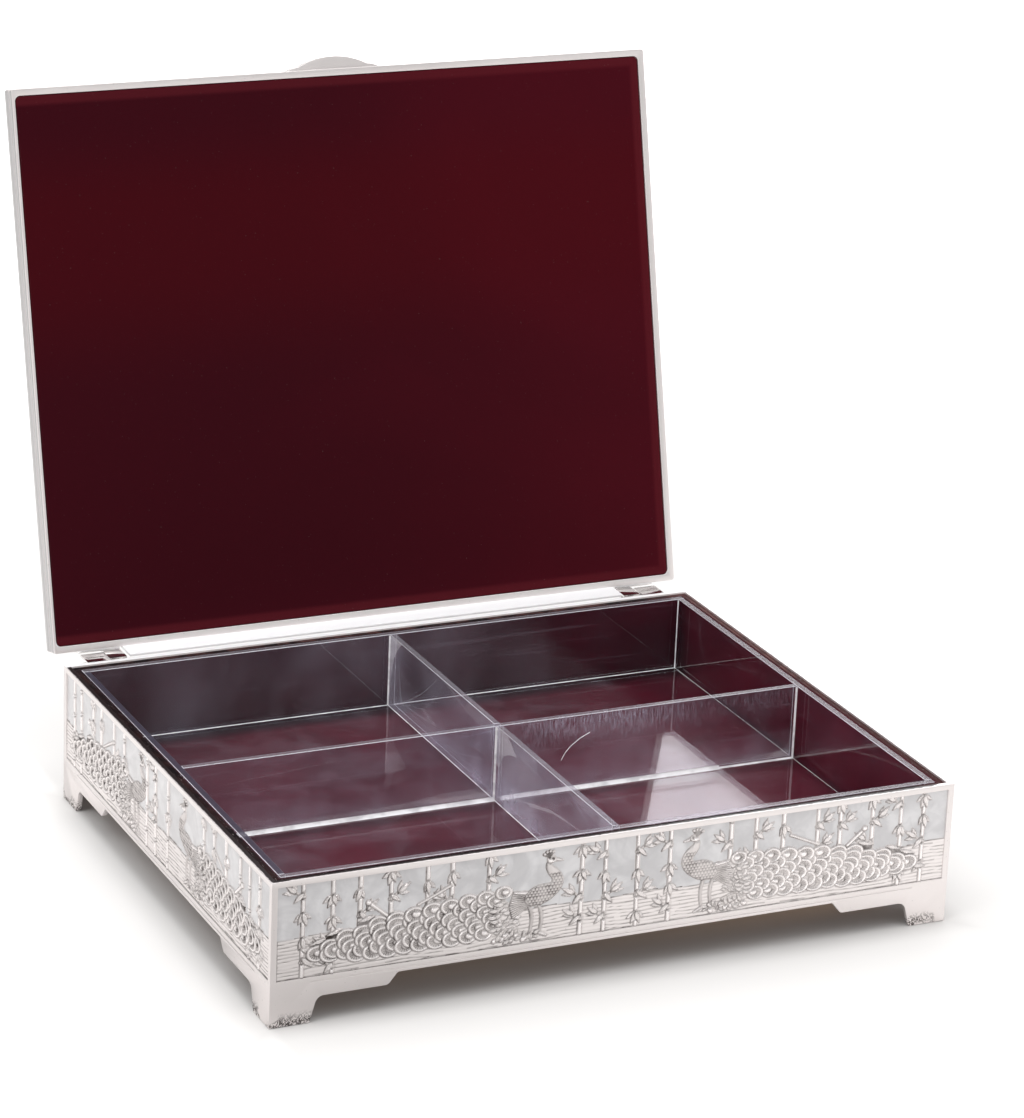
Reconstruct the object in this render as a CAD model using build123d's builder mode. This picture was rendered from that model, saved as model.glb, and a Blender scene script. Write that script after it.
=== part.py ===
from build123d import *
import math
import os

# Box footprint and heights, in millimetres
length = 254.0
width = 206.0
rim_height = 51.8

# Bracket-foot plinth rails
plinth_height = 15.4
foot_width = 14.2
foot_slant = 2.6
bracket_height = 9.2
bracket_length = 42.0
arch_height = 13.4
arch_step_run = 3.4
foot_toe_radius = 0.5
foot_crook_radius = 3.2
bracket_nose_radius = 1.9
bracket_crook_radius = 1.4
apron_groove_width = 0.5
apron_groove_depth = 0.25
apron_groove_below_top = 0.5

# Cast relief panels of the four sides
casting_thick = 2.0
recess_depth = 1.0
rim_band = 2.0
sill_band = 0.9
corner_strip = 2.2
cane_radius = 0.75
cane_pitch = 12.4
cane_sway = 1.6
cane_sway_rate = 2.4
cane_edge_margin = 4.0
water_height = 11.5
water_relief = 0.4
enamel_thick = 0.35
enamel_gap = 0.04

# Lacquered inner carcass and the card under it
liner_thick = 2.4
liner_drop = 0.6
floor_thick = 5.0
cover_thick = 1.0
cover_gap = 0.5

# Lift-out clear tray
tray_gap = 0.5
tray_drop = 0.5
tray_sheet = 2.5
divider_sheet = 2.4
divider_notch_gap = 0.05

# Lid, modelled open against its stop
open_angle = 104.0
lid_gap = 0.3
lid_thick = 8.0
lid_corner_radius = 1.0
lid_rim_width = 2.5
lining_thick = 3.6
lining_recess = 0.2
lining_corner_radius = 3.5
lining_edge_radius = 0.8
lid_border = 9.0
lid_recess = 1.0
groove_from_rim = 3.0
groove_width = 0.5
groove_depth = 0.35
tab_width = 37.0
tab_reach = 4.7
tab_shoulder = 1.3
tab_ogee = 4.5
tab_ogee_sag = 0.3
tab_root = 1.0
tab_thick = 3.0
tab_inset = 0.6

# Hinges behind the back wall
hinge_back = 5.6
hinge_drop = 4.2
hinge_from_end = 9.5
knuckle_gap = 0.3
box_knuckle = 9.0
lid_knuckle = 6.7
leaf_thick = 0.8
leaf_drop = 0.4
leaf_height = 11.0
leaf_arm = 9.4
leaf_slot_start = 4.7
leaf_slot_width = 1.7
leaf_cheek = 1.0
pin_radius = 1.0
pin_fit = 0.05
pin_head_radius = 1.6
pin_head_thick = 0.6
knuckle_wall = 0.85
tongue_drop = 0.9
tongue_reach = 7.8
lid_leaf_height = 6.0
tongue_root = 1.2
lid_leaf_start = 0.5
pin_end_play = 0.1
hinge_pad_margin = 1.5
flange_depth = 8.4
flange_thick = 1.0
flange_root = 2.4
flange_end_gap = 1.0

# Heights that follow
floor_bottom = plinth_height
floor_top = floor_bottom + floor_thick
panel_bottom = plinth_height + sill_band
panel_top = rim_height - rim_band
water_line = panel_bottom + water_height
inner_length = length - 2 * casting_thick
inner_width = width - 2 * casting_thick

# The origin is on the table, under the middle of the open box
stop_angle = math.radians(open_angle)
lid_under = hinge_drop + lid_gap
lid_far = -(width + hinge_back) * math.cos(stop_angle)
lid_far += (lid_under + lid_thick) * math.sin(stop_angle) + hinge_back
front_y = -(width + lid_far) / 2
back_y = front_y + width
middle_y = (front_y + back_y) / 2
hinge_y = back_y + hinge_back
hinge_z = rim_height - hinge_drop

# Hinge spans along the back wall, measured outwards from the middle
hinge_span = lid_knuckle + knuckle_gap + box_knuckle
hinge_inner_end = length / 2 - hinge_from_end - hinge_span
hinge_middle = hinge_inner_end + hinge_span / 2
box_knuckle_start = hinge_inner_end + lid_knuckle + knuckle_gap
knuckle_radius = pin_radius + pin_fit + knuckle_wall
pad_width = hinge_span + 2 * hinge_pad_margin
pad_height = leaf_drop + leaf_height + hinge_pad_margin - rim_band

made = []


def finish(builder, name):
    """Name a finished piece and keep it for writing."""
    builder.part.label = name
    made.append(builder.part)


def side_plane(name):
    """Outer face of one side: X to its right seen from outside, Y up."""
    places = {
        "front": ((0, front_y, 0), (1, 0, 0), (0, -1, 0)),
        "back": ((0, back_y, 0), (-1, 0, 0), (0, 1, 0)),
        "left": ((-length / 2, middle_y, 0), (0, -1, 0), (-1, 0, 0)),
        "right": ((length / 2, middle_y, 0), (0, 1, 0), (1, 0, 0)),
    }
    origin, along, outward = places[name]
    return Plane(origin=origin, x_dir=along, z_dir=outward)


def plan_plane(face):
    """Level plane at a side's outer face, with Y running into the box."""
    return Plane(origin=face.origin, x_dir=face.x_dir, z_dir=(0, 0, 1))


def cane_places(run):
    """Places of the bamboo canes along a side, mirrored about its middle."""
    reach = run / 2 - corner_strip - cane_edge_margin
    last = int(reach // cane_pitch)
    steps = range(-last, last + 1)
    return [cane_pitch * step + cane_sway * math.sin(cane_sway_rate * step) for step in steps]


def clear_of_hinge(name, place):
    """True where a cane misses both hinge pads of the back wall."""
    miss = abs(abs(place) - hinge_middle) > pad_width / 2 + cane_radius
    return name != "back" or miss


sides = {"front": length, "back": length, "left": width, "right": width}

# Plinth rails: bracket feet at both ends, a thin stepped apron between
for name, run in sides.items():
    face = side_plane(name)
    half = run / 2
    with BuildPart() as plinth:
        with BuildSketch(face):
            with BuildLine():
                under = FilletPolyline(
                    (-half, 0),
                    (-half + foot_width, 0),
                    (-half + foot_width + foot_slant, bracket_height),
                    (-half + bracket_length, bracket_height),
                    (-half + bracket_length + arch_step_run, arch_height),
                    (half - bracket_length - arch_step_run, arch_height),
                    (half - bracket_length, bracket_height),
                    (half - foot_width - foot_slant, bracket_height),
                    (half - foot_width, 0),
                    (half, 0),
                    radius=[
                        foot_toe_radius,
                        foot_crook_radius,
                        bracket_nose_radius,
                        bracket_crook_radius,
                        bracket_crook_radius,
                        bracket_nose_radius,
                        foot_crook_radius,
                        foot_toe_radius,
                    ],
                )
                Polyline(under @ 1, (half, plinth_height), (-half, plinth_height), under @ 0)
            make_face()
        extrude(amount=-casting_thick)
        groove_level = plinth_height - apron_groove_below_top - apron_groove_width / 2
        with BuildSketch(face):
            with Locations((0, groove_level)):
                Rectangle(run - 2 * foot_width, apron_groove_width)
        extrude(amount=-apron_groove_depth, mode=Mode.SUBTRACT)
        with BuildSketch(plan_plane(face)):
            Trapezoid(run, casting_thick, 45, align=(Align.CENTER, Align.MIN))
        extrude(amount=plinth_height, mode=Mode.INTERSECT)
    finish(plinth, f"{name}_plinth")

# Relief panels: a framed recess, a raised strip of water, and bamboo canes
for name, run in sides.items():
    face = side_plane(name)
    canes = [place for place in cane_places(run) if clear_of_hinge(name, place)]
    recess_width = run - 2 * corner_strip
    with BuildPart() as frieze:
        with BuildSketch(plan_plane(face).offset(plinth_height)):
            Trapezoid(run, casting_thick, 45, align=(Align.CENTER, Align.MIN))
        extrude(amount=rim_height - plinth_height)
        with BuildSketch(face):
            with Locations((0, (panel_bottom + panel_top) / 2)):
                Rectangle(recess_width, panel_top - panel_bottom)
        extrude(amount=-recess_depth, mode=Mode.SUBTRACT)
        with BuildSketch(face.offset(-recess_depth)):
            with Locations((0, (panel_bottom + water_line) / 2)):
                Rectangle(recess_width, water_line - panel_bottom)
        extrude(amount=water_relief)
        with BuildSketch(plan_plane(face).offset(panel_bottom)):
            with Locations(*[(place, recess_depth) for place in canes]):
                Circle(cane_radius)
        extrude(amount=panel_top - panel_bottom)
        if name == "back":
            with BuildSketch(face.offset(-recess_depth)):
                with Locations((-hinge_middle, panel_top), (hinge_middle, panel_top)):
                    Rectangle(pad_width, pad_height, align=(Align.CENTER, Align.MAX))
            extrude(amount=recess_depth)
    finish(frieze, f"{name}_frieze")

    # Pearl enamel laid between the canes, above the water
    with BuildPart() as enamel:
        with BuildSketch(face.offset(-recess_depth)):
            with Locations((0, (water_line + panel_top) / 2)):
                Rectangle(recess_width, panel_top - water_line)
            if name == "back":
                with Locations((-hinge_middle, panel_top), (hinge_middle, panel_top)):
                    Rectangle(
                        pad_width,
                        pad_height,
                        align=(Align.CENTER, Align.MAX),
                        mode=Mode.SUBTRACT,
                    )
        extrude(amount=enamel_thick)
        with BuildSketch(face.offset(-recess_depth)):
            with Locations(*[(place, water_line) for place in canes]):
                Rectangle(
                    2 * (cane_radius + enamel_gap),
                    panel_top - water_line,
                    align=(Align.CENTER, Align.MIN),
                )
        extrude(amount=enamel_thick, mode=Mode.SUBTRACT)
    finish(enamel, f"{name}_enamel")

# Inner carcass: a floor board with four lacquered walls standing on it
middle = (0, middle_y)
with BuildPart() as floor_board:
    with BuildSketch(Plane.XY.offset(floor_bottom)):
        with Locations(middle):
            Rectangle(inner_length, inner_width)
    extrude(amount=floor_thick)
finish(floor_board, "floor_board")

liner_height = rim_height - liner_drop - floor_top
liner_offset_y = (inner_width - liner_thick) / 2
for name, direction in {"front": -1, "back": 1}.items():
    with BuildPart() as liner:
        with BuildSketch(Plane.XY.offset(floor_top)):
            with Locations((0, middle_y + direction * liner_offset_y)):
                Rectangle(inner_length, liner_thick)
        extrude(amount=liner_height)
    finish(liner, f"{name}_liner")

liner_offset_x = (inner_length - liner_thick) / 2
for name, direction in {"left": -1, "right": 1}.items():
    with BuildPart() as liner:
        with BuildSketch(Plane.XY.offset(floor_top)):
            with Locations((direction * liner_offset_x, middle_y)):
                Rectangle(liner_thick, inner_width - 2 * liner_thick)
        extrude(amount=liner_height)
    finish(liner, f"{name}_liner")

with BuildPart() as base_cover:
    with BuildSketch(Plane.XY.offset(floor_bottom)):
        with Locations(middle):
            Rectangle(inner_length - 2 * cover_gap, inner_width - 2 * cover_gap)
    extrude(amount=-cover_thick)
finish(base_cover, "base_cover")

# Clear tray: a floor sheet, four edge sheets and two halved dividers
tray_length = inner_length - 2 * liner_thick - 2 * tray_gap
tray_width = inner_width - 2 * liner_thick - 2 * tray_gap
tray_floor_top = floor_top + tray_sheet
tray_wall_height = rim_height - tray_drop - tray_floor_top
hold_length = tray_length - 2 * tray_sheet
hold_width = tray_width - 2 * tray_sheet

with BuildPart() as tray_floor:
    with BuildSketch(Plane.XY.offset(floor_top)):
        with Locations(middle):
            Rectangle(tray_length, tray_width)
    extrude(amount=tray_sheet)
finish(tray_floor, "tray_floor")

for name, direction in {"front": -1, "back": 1}.items():
    with BuildPart() as tray_wall:
        with BuildSketch(Plane.XY.offset(tray_floor_top)):
            with Locations((0, middle_y + direction * (tray_width - tray_sheet) / 2)):
                Rectangle(tray_length, tray_sheet)
        extrude(amount=tray_wall_height)
    finish(tray_wall, f"tray_{name}_wall")

for name, direction in {"left": -1, "right": 1}.items():
    with BuildPart() as tray_wall:
        with BuildSketch(Plane.XY.offset(tray_floor_top)):
            with Locations((direction * (tray_length - tray_sheet) / 2, middle_y)):
                Rectangle(tray_sheet, hold_width)
        extrude(amount=tray_wall_height)
    finish(tray_wall, f"tray_{name}_wall")

notch_width = divider_sheet + 2 * divider_notch_gap
notch_level = tray_floor_top + tray_wall_height / 2
with BuildPart() as long_divider:
    with BuildSketch(Plane.XY.offset(tray_floor_top)):
        with Locations(middle):
            Rectangle(divider_sheet, hold_width)
    extrude(amount=tray_wall_height)
    with BuildSketch(Plane.XY.offset(notch_level)):
        with Locations(middle):
            Rectangle(divider_sheet, notch_width)
    extrude(amount=tray_wall_height / 2, mode=Mode.SUBTRACT)
finish(long_divider, "long_divider")

with BuildPart() as cross_divider:
    with BuildSketch(Plane.XY.offset(tray_floor_top)):
        with Locations(middle):
            Rectangle(hold_length, divider_sheet)
    extrude(amount=tray_wall_height)
    with BuildSketch(Plane.XY.offset(tray_floor_top)):
        with Locations(middle):
            Rectangle(notch_width, divider_sheet)
    extrude(amount=tray_wall_height / 2, mode=Mode.SUBTRACT)
finish(cross_divider, "cross_divider")

# The lid's own plane sits on the hinge pin, level when the lid is shut
lid_plane = Plane(
    origin=(0, hinge_y, hinge_z),
    x_dir=(1, 0, 0),
    z_dir=(0, math.sin(stop_angle), math.cos(stop_angle)),
)
lid_top = lid_under + lid_thick
lid_front = -hinge_back - width
lid_middle = (0, -hinge_back - width / 2)
panel_length = length - 2 * lid_border
panel_width = width - 2 * lid_border
lid_upward = Axis(lid_plane.origin, lid_plane.z_dir)
lid_end_on = Plane(origin=lid_plane.origin, x_dir=lid_plane.y_dir, z_dir=(1, 0, 0))
open_end_on = Plane(origin=lid_plane.origin, x_dir=(0, 1, 0), z_dir=(1, 0, 0))


def open_point(along, up):
    """End-on point of the open lid for a point given on the shut lid."""
    place = open_end_on.to_local_coords(lid_end_on.from_local_coords((along, up)))
    return (place.X, place.Y)


def slice_start(direction, start, run):
    """Lowest X of a hinge slice that begins at start from the middle."""
    return start if direction > 0 else -start - run


root = open_point(-hinge_back, lid_under)
core = open_point(-hinge_back - flange_thick, lid_under + flange_thick)
heel = open_point(-hinge_back, lid_under + flange_root)
flange_end = hinge_inner_end - flange_end_gap

with BuildPart() as lid_frame:
    with BuildSketch(lid_plane.offset(lid_under)):
        with Locations(lid_middle):
            RectangleRounded(length, width, lid_corner_radius)
    extrude(amount=lid_thick)
    with BuildSketch(lid_plane.offset(lid_under)):
        with Locations(lid_middle):
            RectangleRounded(
                length - 2 * lid_rim_width,
                width - 2 * lid_rim_width,
                lining_corner_radius,
            )
    extrude(amount=lining_thick + lining_recess, mode=Mode.SUBTRACT)
    with BuildSketch(lid_plane.offset(lid_under + groove_from_rim)):
        with Locations(lid_middle):
            Rectangle(length, width)
            RectangleRounded(
                length - 2 * groove_depth,
                width - 2 * groove_depth,
                lid_corner_radius - groove_depth,
                mode=Mode.SUBTRACT,
            )
    extrude(amount=groove_width, mode=Mode.SUBTRACT)
    with BuildSketch(lid_plane.offset(lid_top)):
        with Locations(lid_middle):
            Rectangle(panel_length, panel_width)
    extrude(amount=-lid_recess, mode=Mode.SUBTRACT)
    # Thumb tab in the middle of the front edge, with ogee ends
    with BuildSketch(lid_plane.offset(lid_top - tab_inset)):
        with BuildLine():
            tab_left = (-tab_width / 2, lid_front)
            tab_right = (tab_width / 2, lid_front)
            left_shoulder = (-tab_width / 2 + tab_ogee, lid_front - tab_shoulder)
            right_shoulder = (tab_width / 2 - tab_ogee, lid_front - tab_shoulder)
            SagittaArc(tab_left, left_shoulder, -tab_ogee_sag)
            ThreePointArc(left_shoulder, (0, lid_front - tab_reach), right_shoulder)
            SagittaArc(right_shoulder, tab_right, -tab_ogee_sag)
            Polyline(
                tab_right,
                (tab_width / 2, lid_front + tab_root),
                (-tab_width / 2, lid_front + tab_root),
                tab_left,
            )
        make_face()
    extrude(amount=-tab_thick)
    # Back flange between the hinges, level while the lid stands open
    with BuildSketch(open_end_on.offset(-flange_end)):
        with BuildLine():
            Polyline(
                (root[0] - flange_depth, root[1]),
                root,
                core,
                heel,
                (root[0], root[1] - flange_thick),
                (root[0] - flange_depth, root[1] - flange_thick),
                close=True,
            )
        make_face()
    extrude(amount=2 * flange_end)
finish(lid_frame, "lid_frame")

with BuildPart() as lid_enamel:
    with BuildSketch(lid_plane.offset(lid_top - lid_recess)):
        with Locations(lid_middle):
            Rectangle(panel_length, panel_width)
    extrude(amount=enamel_thick)
finish(lid_enamel, "lid_enamel")

with BuildPart() as lining_board:
    with BuildSketch(lid_plane.offset(lid_under + lining_recess)):
        with Locations(lid_middle):
            RectangleRounded(
                length - 2 * lid_rim_width,
                width - 2 * lid_rim_width,
                lining_corner_radius,
            )
    extrude(amount=lining_thick)
    showing_face = lining_board.faces().sort_by(lid_upward)[0]
    fillet(showing_face.edges(), lining_edge_radius)
finish(lining_board, "lining_board")

# Hinges: a leaf on the box, a leaf on the lid, and a headed pin through both
arm_level = hinge_drop - leaf_drop
tongue_top = root[1] - tongue_drop
pin_length = hinge_span + 2 * pin_end_play
for name, direction in {"left": -1, "right": 1}.items():
    whole_slice = slice_start(direction, hinge_inner_end, hinge_span)
    box_slice = slice_start(direction, box_knuckle_start, box_knuckle)
    lid_slice = slice_start(direction, hinge_inner_end, lid_knuckle)

    with BuildPart() as box_leaf:
        with BuildSketch(open_end_on.offset(whole_slice)):
            with Locations((-hinge_back, arm_level)):
                Rectangle(leaf_thick, leaf_height, align=(Align.MIN, Align.MAX))
        extrude(amount=hinge_span)
        with BuildSketch(open_end_on.offset(box_slice)):
            with Locations((-hinge_back, arm_level)):
                Rectangle(leaf_arm, leaf_thick, align=(Align.MIN, Align.MAX))
            with Locations((-knuckle_radius, 0)):
                Rectangle(leaf_thick, arm_level, align=(Align.MIN, Align.MIN))
            Circle(knuckle_radius)
            Circle(pin_radius + pin_fit, mode=Mode.SUBTRACT)
        extrude(amount=box_knuckle)
        with BuildSketch(Plane.XY.offset(rim_height - leaf_drop)):
            with Locations((box_slice + leaf_cheek, back_y + leaf_slot_start)):
                Rectangle(
                    box_knuckle - 2 * leaf_cheek,
                    leaf_slot_width,
                    align=(Align.MIN, Align.MIN),
                )
        extrude(amount=-leaf_thick, mode=Mode.SUBTRACT)
    finish(box_leaf, f"{name}_box_leaf")

    with BuildPart() as lid_leaf:
        with BuildSketch(lid_end_on.offset(whole_slice)):
            with Locations((-hinge_back, lid_under + lid_leaf_start)):
                Rectangle(leaf_thick, lid_leaf_height, align=(Align.MIN, Align.MIN))
        extrude(amount=hinge_span)
        with BuildSketch(open_end_on.offset(lid_slice)):
            with Locations((root[0] - tongue_reach, tongue_top)):
                Rectangle(
                    tongue_reach + tongue_root,
                    leaf_thick,
                    align=(Align.MIN, Align.MAX),
                )
            with Locations((knuckle_radius, 0)):
                Rectangle(leaf_thick, tongue_top, align=(Align.MAX, Align.MIN))
            Circle(knuckle_radius)
            Circle(pin_radius + pin_fit, mode=Mode.SUBTRACT)
        extrude(amount=lid_knuckle)
    finish(lid_leaf, f"{name}_lid_leaf")

    with BuildPart() as hinge_pin:
        with BuildSketch(open_end_on.offset(whole_slice - pin_end_play)):
            Circle(pin_radius)
        extrude(amount=pin_length)
        with BuildSketch(open_end_on.offset(whole_slice - pin_end_play)):
            Circle(pin_head_radius)
        extrude(amount=-pin_head_thick)
        with BuildSketch(open_end_on.offset(whole_slice - pin_end_play + pin_length)):
            Circle(pin_head_radius)
        extrude(amount=pin_head_thick)
    finish(hinge_pin, f"{name}_hinge_pin")

os.makedirs("parts", exist_ok=True)
for piece in made:
    export_step(piece, f"parts/{piece.label}.step")
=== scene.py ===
import math

import bmesh
import bpy
import numpy as np
from mathutils import Matrix, Vector


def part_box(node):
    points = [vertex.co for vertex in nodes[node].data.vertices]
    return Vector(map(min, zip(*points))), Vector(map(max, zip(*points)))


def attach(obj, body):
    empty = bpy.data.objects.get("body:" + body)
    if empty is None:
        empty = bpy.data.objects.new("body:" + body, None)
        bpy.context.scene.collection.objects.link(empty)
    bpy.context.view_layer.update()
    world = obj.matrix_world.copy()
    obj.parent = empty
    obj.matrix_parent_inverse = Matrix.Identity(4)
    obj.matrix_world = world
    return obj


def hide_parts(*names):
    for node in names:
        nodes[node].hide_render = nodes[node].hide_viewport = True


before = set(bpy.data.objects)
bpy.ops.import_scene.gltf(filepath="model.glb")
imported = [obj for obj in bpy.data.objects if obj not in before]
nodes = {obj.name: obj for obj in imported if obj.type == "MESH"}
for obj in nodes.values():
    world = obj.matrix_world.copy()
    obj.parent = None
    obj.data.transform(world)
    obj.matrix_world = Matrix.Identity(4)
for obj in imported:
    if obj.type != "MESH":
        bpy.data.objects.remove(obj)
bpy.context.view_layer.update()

mm = 0.001


# Bracket-foot plinth. Four zinc rails are cast, mitred into one ring, silver
# plated and buffed; the toes of the feet are rubbed dark where they stand.
class Socket:
    """One output of a material's nodes; arithmetic on it adds Math nodes."""

    def __init__(self, tree, output=None):
        self.tree = tree
        self.output = output

    def node(self, kind, settings=None, sockets=None, output=0):
        """Add any other node: its settings first, then values or links of its sockets."""
        new = self.tree.nodes.new("ShaderNode" + kind)
        for key, value in (settings or {}).items():
            setattr(new, key, value)
        for key, value in (sockets or {}).items():
            entry = new.inputs[key]
            if isinstance(value, Socket):
                self.tree.links.new(value.output, entry)
            else:
                entry.default_value = (*value, 1) if entry.type == "RGBA" else value
        return Socket(self.tree, new.outputs[output] if new.outputs else None)

    def shown(self):
        """Make this shader the surface of its material."""
        self.node("OutputMaterial", {}, {"Surface": self})

    def math(self, operation, *values):
        return self.node("Math", {"operation": operation}, dict(enumerate(values)))

    def __add__(self, other):
        return self.math("ADD", self, other)

    def __sub__(self, other):
        return self.math("SUBTRACT", self, other)

    def __rsub__(self, other):
        return self.math("SUBTRACT", other, self)

    def __mul__(self, other):
        return self.math("MULTIPLY", self, other)

    __radd__, __rmul__ = __add__, __mul__

    def __pow__(self, power):
        return self.math("POWER", self, power)

    def __abs__(self):
        return self.math("ABSOLUTE", self)

    def place(self, way=None, kind="Object"):
        """Where a point is on the object, or one coordinate of that place."""
        spot = self.node("TexCoord", output=kind)
        return self.node("SeparateXYZ", {}, {0: spot}, way) if way else spot

    def along(self, direction, origin=None, kind="Object"):
        """How far a point lies along a direction, measured from an origin."""
        spot = self.place(kind=kind)
        if origin is not None:
            spot = self.node("VectorMath", {"operation": "SUBTRACT"}, {0: spot, 1: origin})
        ends = {0: spot, 1: direction}
        return self.node("VectorMath", {"operation": "DOT_PRODUCT"}, ends, "Value")

    def ray(self, kind):
        """1 for light rays of one kind, and 0 for others."""
        return self.node("LightPath", output=f"Is {kind} Ray")

    def noise(self, scale, detail=2.0, stretch=(1, 1, 1), warp=0):
        """Soft random values from 0 to 1 with features about 1/scale metres wide."""
        spread = self.node("Mapping", {}, {"Vector": self.place(), "Scale": stretch})
        sockets = {"Vector": spread, "Scale": scale, "Detail": detail, "Distortion": warp}
        return self.node("TexNoise", {}, sockets)

    def between(self, low, high):
        """0 below low, 1 above high, and smooth in between."""
        return self.node(
            "MapRange",
            {"interpolation_type": "SMOOTHSTEP"},
            {"Value": self, "From Min": low, "From Max": high},
        )

    def mix(self, first, second):
        """Blend two colours by this value."""
        colours = {0: self, 6: first, 7: second}
        return self.node("Mix", {"data_type": "RGBA"}, colours, 2)

    def bump(self, height, strength=1.0):
        """A surface normal from this value times a height in metres."""
        return self.node(
            "Bump", {}, {"Height": self, "Distance": height, "Strength": strength}
        )


def new_finish(name):
    """A material with no nodes yet, and a bare Socket to start its nodes from."""
    material = bpy.data.materials.new(name)
    material.use_nodes = True
    material.node_tree.nodes.clear()
    return material, Socket(material.node_tree)


def coated(start, sockets):
    """Close a material with one Principled shader."""
    start.node("BsdfPrincipled", {}, sockets).shown()


silver, start = new_finish("silver plate")
height, spot_x = start.place("Z"), start.place("X")
patina_and_painted_light = start.node("Attribute", {"attribute_name": "patina_and_painted_light"}, output="Fac")
cloud = start.noise(35, 3, warp=0.6)
pits = start.noise(1100, 2).between(0.7, 0.78)
squiggle = abs(start.noise(620, 3, warp=1.2) - 0.5)
patch = start.noise(110, 2).between(0.41, 0.51)
toe_zone = (1.4 * mm, 5.4 * mm)
toes = (1 - height.between(*toe_zone)) * (1 - squiggle.between(0.04, 0.08)) * patch
tarnish_and_shade = patina_and_painted_light**0.9 * (0.66 + 0.38 * start.noise(330, 2).between(0.4, 0.66))
# The tarnish is painted stronger towards the left end and weaker towards the right, as shade on the
# darker left.
tarnish_and_shade = tarnish_and_shade * (1.05 - 0.2 * spot_x.between(-0.06, 0.06))
dark = start.math("MINIMUM", tarnish_and_shade + toes * 0.9 + pits * 0.3, 1.0)
polish = cloud.mix((0.76, 0.715, 0.705), (0.83, 0.785, 0.775))
# Raised relief, where the layer falls below zero, is buffed and painted near white and glossier, as
# a highlight.
buff_and_highlight = (0 - patina_and_painted_light).between(0, 0.3)
polish = buff_and_highlight.mix(polish, (0.97, 0.93, 0.92))
ripple = start.noise(260, 2) * 0.7 + start.noise(2600, 2) * 0.3
coated(start, {
    "Base Color": dark.mix(polish, (0.05, 0.038, 0.034)),
    "Metallic": 0.72,
    "Roughness": 0.24 + cloud * 0.16 + dark * 0.3 - buff_and_highlight * 0.08,
    "Normal": ripple.bump(0.00012, 0.35),
})


def rounded_edges(mesh, size, steps=2, keep=lambda edge: False):
    """Bevel every edge sharper than 30 degrees, apart from those that keep says."""
    edges = [
        e for e in mesh.edges
        if len(e.link_faces) == 2 and e.calc_face_angle(0) > 0.52 and not keep(e)
    ]
    bmesh.ops.bevel(
        mesh, geom=edges, offset=size, offset_type="OFFSET", segments=steps,
        profile=0.5, affect="EDGES", clamp_overlap=True, material=-1,
    )


def added(mesh, name, materials):
    """Turn a bmesh into an object of the scene."""
    data = bpy.data.meshes.new(name)
    mesh.to_mesh(data)
    mesh.free()
    for material in materials:
        data.materials.append(material)
    made = bpy.data.objects.new(name, data)
    bpy.context.scene.collection.objects.link(made)
    return made


def piece(mesh, name, materials, body="box", smooth=0.7, stands_for=()):
    """Turn a bmesh into a finished piece that rides on a body."""
    made = added(mesh, name, materials)
    for face in made.data.polygons:
        face.use_smooth = True
    made.data.set_sharp_from_angle(angle=smooth)
    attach(made, body)
    if stands_for:
        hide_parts(*stands_for)
    return made


def copied(*names):
    """The CAD meshes of these nodes in one bmesh, welded, with their flats whole."""
    mesh = bmesh.new()
    for name in names:
        mesh.from_mesh(nodes[name].data)
    bmesh.ops.remove_doubles(mesh, verts=mesh.verts, dist=2e-6)
    bmesh.ops.dissolve_limit(
        mesh, angle_limit=0.01, use_dissolve_boundaries=False,
        verts=mesh.verts, edges=mesh.edges, delimit={"NORMAL"},
    )
    return mesh


sides = ("front", "back", "left", "right")
plinth_height = 15.4 * mm
plinth_round = 0.12 * mm
plinths = [side + "_plinth" for side in sides]
plinth = copied(*plinths)
mitres = [
    f for f in plinth.faces
    if abs(f.normal.z) < 0.01 and abs(abs(f.normal.x) - abs(f.normal.y)) < 0.02
    and f.calc_area() > 4e-6
]
bmesh.ops.delete(plinth, geom=mitres, context="FACES")
bmesh.ops.remove_doubles(plinth, verts=plinth.verts, dist=2e-6)


def on_seam(edge):
    """Whether an edge lies on the seam between the plinth and the friezes."""
    return all(abs(v.co.z - plinth_height) < 1e-5 for v in edge.verts)


rounded_edges(plinth, plinth_round, keep=on_seam)
piece(plinth, "plinth_ring", [silver], stands_for=plinths)


# Frieze frame. One plated casting round the box: a rim, a sill and corner
# strips stand a millimetre proud of the web that carries the relief.
outer_low, outer_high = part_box("front_plinth")
box_length = outer_high.x - outer_low.x
front_y = outer_low.y
back_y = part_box("back_frieze")[1].y
box_width = back_y - front_y
middle_y = (front_y + back_y) / 2
rim_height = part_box("front_frieze")[1].z
casting = 2.0 * mm
recess = 1.0 * mm
frieze_round = 0.16 * mm
panel_bottom = plinth_height + 0.9 * mm
panel_top = rim_height - 2.0 * mm
corner_strip = 2.2 * mm
side_frames = {}
for side, across, along, out, run in (
    ("front", (0, front_y), (1, 0, 0), (0, -1, 0), box_length),
    ("back", (0, back_y), (-1, 0, 0), (0, 1, 0), box_length),
    ("left", (-box_length / 2, middle_y), (0, -1, 0), (-1, 0, 0), box_width),
    ("right", (box_length / 2, middle_y), (0, 1, 0), (1, 0, 0), box_width),
):
    turn = Matrix((along, (0, 0, 1), out)).transposed().to_4x4()
    side_frames[side] = (Matrix.Translation((across[0], across[1], 0)) @ turn, run)


def join(whole, mesh):
    """Move all of one bmesh into another."""
    data = bpy.data.meshes.new("part")
    mesh.to_mesh(data)
    mesh.free()
    whole.from_mesh(data)
    bpy.data.meshes.remove(data)


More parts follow.
